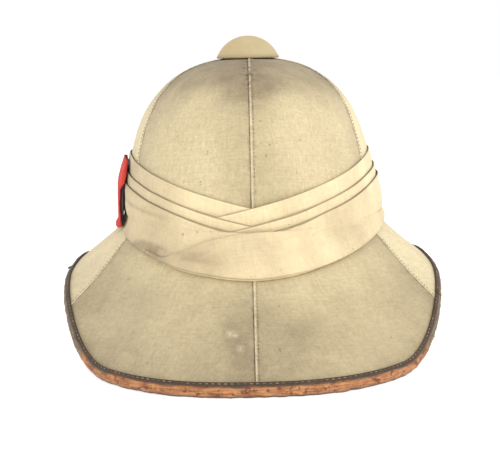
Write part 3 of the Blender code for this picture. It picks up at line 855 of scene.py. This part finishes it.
colour = leather.blend(stain.smoothed(0.56, 0.66) * wear * 0.4, colour, tint(112, 50, 34))
colour = leather.blend(spots.smoothed(0.555, 0.63) * wear * 0.75, colour, tint(96, 44, 30))
colour = leather.blend(nicks.smoothed(0.65, 0.71) * 0.7, colour, tint(46, 34, 28))
# The flange's own dark tone, and painted shade at its inner edge and under the nose at the rear
colour = leather.blend(flange_tone_and_shade, colour, tint(62, 45, 34))
colour = leather.shaded(colour, grain * 0.3 + 0.85)
bound_leather = leather.paint(colour, Normal=leather.bump(grain * 0.0004 + streak * 0.0006, 1.0, 0.7))

t = JOINT + np.linspace(0, 2 * math.pi - JOINT_GAP, LEATHER_STATIONS)
# Share v of the flange's inner edge: a first guess, then scaled until its width is right
back = np.full(t.shape, 1.95)
for _ in range(4):
    width = np.linalg.norm(shell_point(t, 2.0) - shell_point(t, back), axis=-1)
    back = 2.0 - (2.0 - back) * FLANGE / width
normal = shell_normal(t, 1.9999)
tangent = shell_point(t + 1e-4, 2.0) - shell_point(t - 1e-4, 2.0)
outward = unit(np.cross(tangent, normal))
middle = shell_point(t, 2.0) - MID * normal
middle[:, 2] = edge_height(leaned(t, 2.0))
flat = np.linspace(0, 1, FLANGE_ROWS + 1)[:, None]
flange_t = t[None] + 0 * flat
above = laid(flange_t, back * (1 - flat) + 2.0 * flat, COVER_OUT + EASE + LEATHER)
turned = np.linspace(NOSE_TURN, -NOSE_TURN, NOSE_ROWS)
turning = np.radians(turned)[:, None, None]
radius = NOSE + (0.00012 * swell(middle, 0.012, 41) + 0.00015 * swell(middle, 0.004, 42))[:, None]
nose = middle + radius * (np.cos(turning) * outward + np.sin(turning) * normal)
below = laid(flange_t, 2.0 * (1 - flat) + back * flat, -WALL - EASE - LEATHER)
grid = np.concatenate([above[:-1], nose, below[1:]])
grid[..., 2] = np.maximum(grid[..., 2], 0.0)

# Wear: the nose is rubbed orange along the rear, less at the front. The flange is darkened, its own
# dark tone with painted shade at its inner edge, and at the rear the lower nose and underside get
# painted shade
turned = np.concatenate([np.full(FLANGE_ROWS, 90.0), turned, np.full(FLANGE_ROWS, -90.0)])[:, None]
ragged = 9.0 * swell(middle * 3.0, 0.05, 43)[None]
on_nose = grown(turned - ragged, 84.0, -12.0) * grown(turned + ragged * 0.5, 5.0, 16.0)
along_rear = grown(np.sin(t) ** 2, 0.47, -0.09) * (np.cos(t) > 0)
along_front = grown(np.sin(t) ** 2, 0.4, -0.25, 0.55) * (np.cos(t) < 0)
wear = on_nose * (along_rear + along_front)[None]
flange = grown(turned, 70.0, 16.0, 0.9) + grown(turned, 20.0, -20.0, 0.75) * along_rear[None]
binding = piece("leather_binding", grid, grid_faces(*grid.shape[:2]), bound_leather,
                {"wear": wear, "flange": flange}, metric_uv(grid))
thicken(binding, LEATHER)
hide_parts("edge_binding")

# Binding stitches. A dull waxed thread runs through the flange and the brim all round, about two
# and a half stitches to the centimetre.
EDGE_STITCH, EDGE_LENGTH, EDGE_THREAD = 0.0040, 0.0024, 0.0003
edge_thread = thread_finish("edge_thread", tint(86, 74, 61), tint(160, 147, 128))
row_t = JOINT + np.linspace(0.01, 2 * math.pi - 0.01, 2400)
on_leather = COVER_OUT + EASE + LEATHER
line = laid(row_t, np.interp(row_t, t, (back + 2.0) / 2), on_leather)
at = row_t[0] + (row_t[-1] - row_t[0]) * spaced(line, EDGE_STITCH)
share = np.interp(at, t, (back + 2.0) / 2)
centres = laid(at, share, on_leather)
ways = unit(laid(at + 1e-3, share, COVER_OUT) - laid(at - 1e-3, share, COVER_OUT))
points, faces = stitch_row(centres, ways, shell_normal(at, share), EDGE_LENGTH, EDGE_THREAD)
piece("binding_stitches", points, faces, edge_thread)

# Frays. Short torn ends of leather and thread stand out where the binding is worn through: where
# they are round the edge, how far round the nose, how long they are, and which way they lean.
FRAYS = ((-92.5, 25, 5.2, 0.3), (-91.0, 5, 4.6, -0.4), (-91.8, -10, 3.4, 0.2), (-44.0, -25, 2.0, 0.5),
         (-20.0, -30, 1.4, -0.6), (12.0, -32, 2.4, 0.7), (15.0, -30, 1.3, -0.4), (25.0, -28, 1.6, 0.4),
         (33.0, -24, 2.2, -0.5), (37.0, -22, 1.6, 0.5), (47.0, -15, 2.2, 0.6), (50.0, -10, 1.5, -0.5))
FRAY_RINGS, FRAY_SIDES = 8, 6
FRAY_THICK, FRAY_WAVE, FRAY_LOW = 0.00030, 0.0003, 0.0004
along = np.linspace(0, 1, FRAY_RINGS)[:, None]
turn = np.linspace(0, 2 * math.pi, FRAY_SIDES, endpoint=False)[None, :, None]
points, faces = [], []
for number, (azimuth, round_nose, length, lean) in enumerate(FRAYS):
    off = (t + math.pi) % (2 * math.pi) - math.pi - math.radians(azimuth)
    column = int(np.argmin(np.abs(off)))
    a = math.radians(round_nose)
    way = math.cos(a) * outward[column] + math.sin(a) * normal[column]
    side_way = unit(tangent[column])
    up_way = np.cross(way, side_way)
    spine = middle[column] + way * (NOSE - 0.0003 + along * length / 1000)
    spine = spine + side_way * lean * length / 1000 * along ** 2
    spine = spine + up_way * FRAY_WAVE * np.sin(3 * along + number)
    spine[:, 2] = np.maximum(spine[:, 2], FRAY_LOW)
    thick = FRAY_THICK * length * (1 - 0.6 * along ** 2)[:, None]
    ring = spine[:, None] + thick * (np.cos(turn) * side_way + 0.9 * np.sin(turn) * up_way)
    first = number * FRAY_RINGS * FRAY_SIDES
    root = first + np.arange(FRAY_SIDES)
    tip = root[::-1] + (FRAY_RINGS - 1) * FRAY_SIDES
    points.append(ring.reshape(-1, 3))
    faces += (grid_faces(FRAY_RINGS, FRAY_SIDES, around=True)[:, ::-1] + first).tolist()
    faces += [root.tolist(), tip.tolist()]
count = len(FRAYS) * FRAY_RINGS * FRAY_SIDES
piece("edge_frays", np.concatenate(points), faces, bound_leather,
      {"wear": np.zeros(count), "flange": np.ones(count)})

# Ventilator. A small dome, pressed from sheet metal and covered in khaki cloth, stands on a plain
# stem in the vent hole, with a narrow gap for air between its rim and the crown.
CAP_WIDTH, CAP_HEIGHT, CAP_SHELL, CAP_LIFT = 0.0484, 0.0170, 0.002, 0.0002
LIP, LIP_UP = 0.0009, 0.0007
crown_top = CROWN_FOOT + CROWN_RISE
rim = crown_top + COVER_OUT + CAP_LIFT
half = CAP_WIDTH / 2
ball = (half ** 2 + CAP_HEIGHT ** 2) / (2 * CAP_HEIGHT)
ball_mid = rim + CAP_HEIGHT - ball
hollow = ball - CAP_SHELL
spread = math.asin(half / ball)
dome = np.linspace(0.02, 0.965, 40) * spread
lip = np.radians(np.linspace(60, -100, 12))
lip_mid = np.array((half - LIP, rim + LIP_UP))
inner = np.linspace(0.93, 0.62, 12) * spread
collar, stem = COVER_HOLE - 2 * GAP, VENT_HOLE - 2 * GAP
profile = np.concatenate([
    np.stack([ball * np.sin(dome), ball_mid + ball * np.cos(dome)], axis=-1),
    lip_mid + LIP * np.stack([np.cos(lip), np.sin(lip)], axis=-1),
    np.stack([hollow * np.sin(inner), ball_mid + hollow * np.cos(inner)], axis=-1),
    np.array([(collar, crown_top + GAP), (stem, crown_top + GAP), (stem, crown_top - WALL),
              (stem * 0.5, crown_top - WALL), (0.0002, crown_top - WALL)])])
CAP_AROUND = 120
t = np.linspace(-math.pi, math.pi, CAP_AROUND, endpoint=False)
grid = np.stack([profile[:, :1] * np.sin(t), AXIS_Y - profile[:, :1] * np.cos(t),
                 profile[:, 1:] + 0 * t], axis=-1)
rows = len(profile)
ends = [list(range(CAP_AROUND))[::-1], [(rows - 1) * CAP_AROUND + j for j in range(CAP_AROUND)]]
cap = Finish("cap_cloth", Roughness=0.8)
cloud = cap.noise(cap.place, 60.0, 4.0, 0.6)
fine = cap.noise(cap.place, 1400.0, 2.0)
soil = cap.attribute("soil")
colour = cap.blend((soil * (cloud + 0.4)).capped(), tint(190, 173, 133), tint(150, 134, 100))
hue = cap.noise(cap.place, 34.0, 3.0).smoothed(0.38, 0.62)
colour = cap.blend(hue * 0.35, colour, tint(196, 164, 120))
colour = cap.shaded(colour, cloud * 0.30 + 0.85)
cap_cloth = cap.paint(colour, Normal=cap.bump(fine * 0.0002 + cloud * 0.0002, 1.0, 0.6))
faces = grid_faces(rows, CAP_AROUND, around=True).tolist() + ends
vent = piece("vent_dome", grid, faces, cap_cloth,
             {"soil": grown(grid[..., 2] - rim, 0.004, -0.005)})
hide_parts("vent_cap")

# Flash. A red wool patch with hollowed sides is sewn on a black backing, over the band's folds on
# the wearer's left.
FLASH_AZIMUTH = math.radians(-76.0)
FLASH_WIDTH, FLASH_CLOTH, FLASH_HANG = 0.038, 0.001, 0.008
# Row of the band's surface, half widths of backing and patch there, as shares
FLASH_ROWS = np.array(((0.25, 0.5, 0.57), (1, 1.0, 1.07), (2, 1.0, 1.06), (3, 1.0, 0.78), (4, 1.0, 0.52),
                       (5.8, 1.0, 1.07), (6.2, 0.5, 0.56)))
# How far the patch's edge turns down where it passes the backing's
EDGE_DROP = 0.0017


def wool_finish(name, shade, dark):
    """Milled wool: short felted fibres, no weave to be seen, slightly uneven dye."""
    wool = Finish(name, Roughness=1.0, Sheen_Weight=0.05, Sheen_Roughness=0.6)
    fibre = wool.noise(wool.place, 1100.0, 4.0, 0.7)
    dye = wool.noise(wool.place, 120.0, 3.0)
    colour = wool.blend(dye.smoothed(0.35, 0.7), shade, dark)
    return wool.paint(wool.shaded(colour, fibre * 0.35 + 0.82), Normal=wool.bump(fibre, 0.0006, 0.9))


red_wool = wool_finish("red_wool", tint(214, 62, 48), tint(180, 44, 40))
black_wool = wool_finish("black_wool", tint(26, 24, 24), tint(15, 14, 14))


def flash_points(across, row, out):
    """Points of the flash on the facets of the folds below it; across is in half widths."""
    t = FLASH_AZIMUTH + across * FLASH_WIDTH / CROWN_WIDTH
    levels = np.array((1.0, 2.25, 3.0) + tuple(1 + 2 * s for s in STAND_SHARES[1:]) + (1.0,))
    bulges = np.array((0.0, 0.0, 0.0) + BULGE_SHARES["left"][1:] + (0.0,)) * BULGE["left"]
    line = [band_line(i, t) for i in range(3)]
    foot = band_foot(t)
    z = [line[0], line[1], line[2], line[2] - BELOW]
    z += [line[2] + s * (foot - line[2]) for s in WRAP_SHARES[2:]] + [foot - FLASH_HANG]
    stands = COVER_OUT + levels * PITCH + bulges
    anchors = np.array([laid(t, share_at(t, at), stand + out) for at, stand in zip(z, stands)])
    near = np.clip(row.astype(int), 0, len(anchors) - 2)
    part = (row - near)[..., None]
    rows, columns = np.indices(t.shape)
    return anchors[near, rows, columns] * (1 - part) + anchors[near + 1, rows, columns] * part


FLASH_LONG, FLASH_ACROSS = 90, 31
CLOTHS = (("flash_backing_cloth", "flash_backing", 1, black_wool, "black_cloth"),
          ("flash_red_cloth", "flash_patch", 2, red_wool, "red_cloth"))
for name, node, column, finish, slot in CLOTHS:
    across = np.linspace(-1, 1, FLASH_ACROSS)[None] * FLASH_ROWS[:, column][:, None]
    past_backing = np.abs(across) - FLASH_ROWS[:, 1][:, None]
    out = column * (FLASH_CLOTH + 2 * GAP) - grown(past_backing, 0.015, 0.04, EDGE_DROP)
    coarse = flash_points(across, FLASH_ROWS[:, :1] + 0 * across, out)
    fine = np.linspace(0, len(FLASH_ROWS) - 1, FLASH_LONG)
    near = np.clip(fine.astype(int), 0, len(FLASH_ROWS) - 2)
    part = (fine - near)[:, None, None]
    grid = coarse[near] * (1 - part) + coarse[near + 1] * part
    patch = piece(name, grid, grid_faces(*grid.shape[:2]), finish, None, metric_uv(grid))
    thicken(patch, FLASH_CLOTH)
    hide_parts(node)
    declare_cloth(grid)
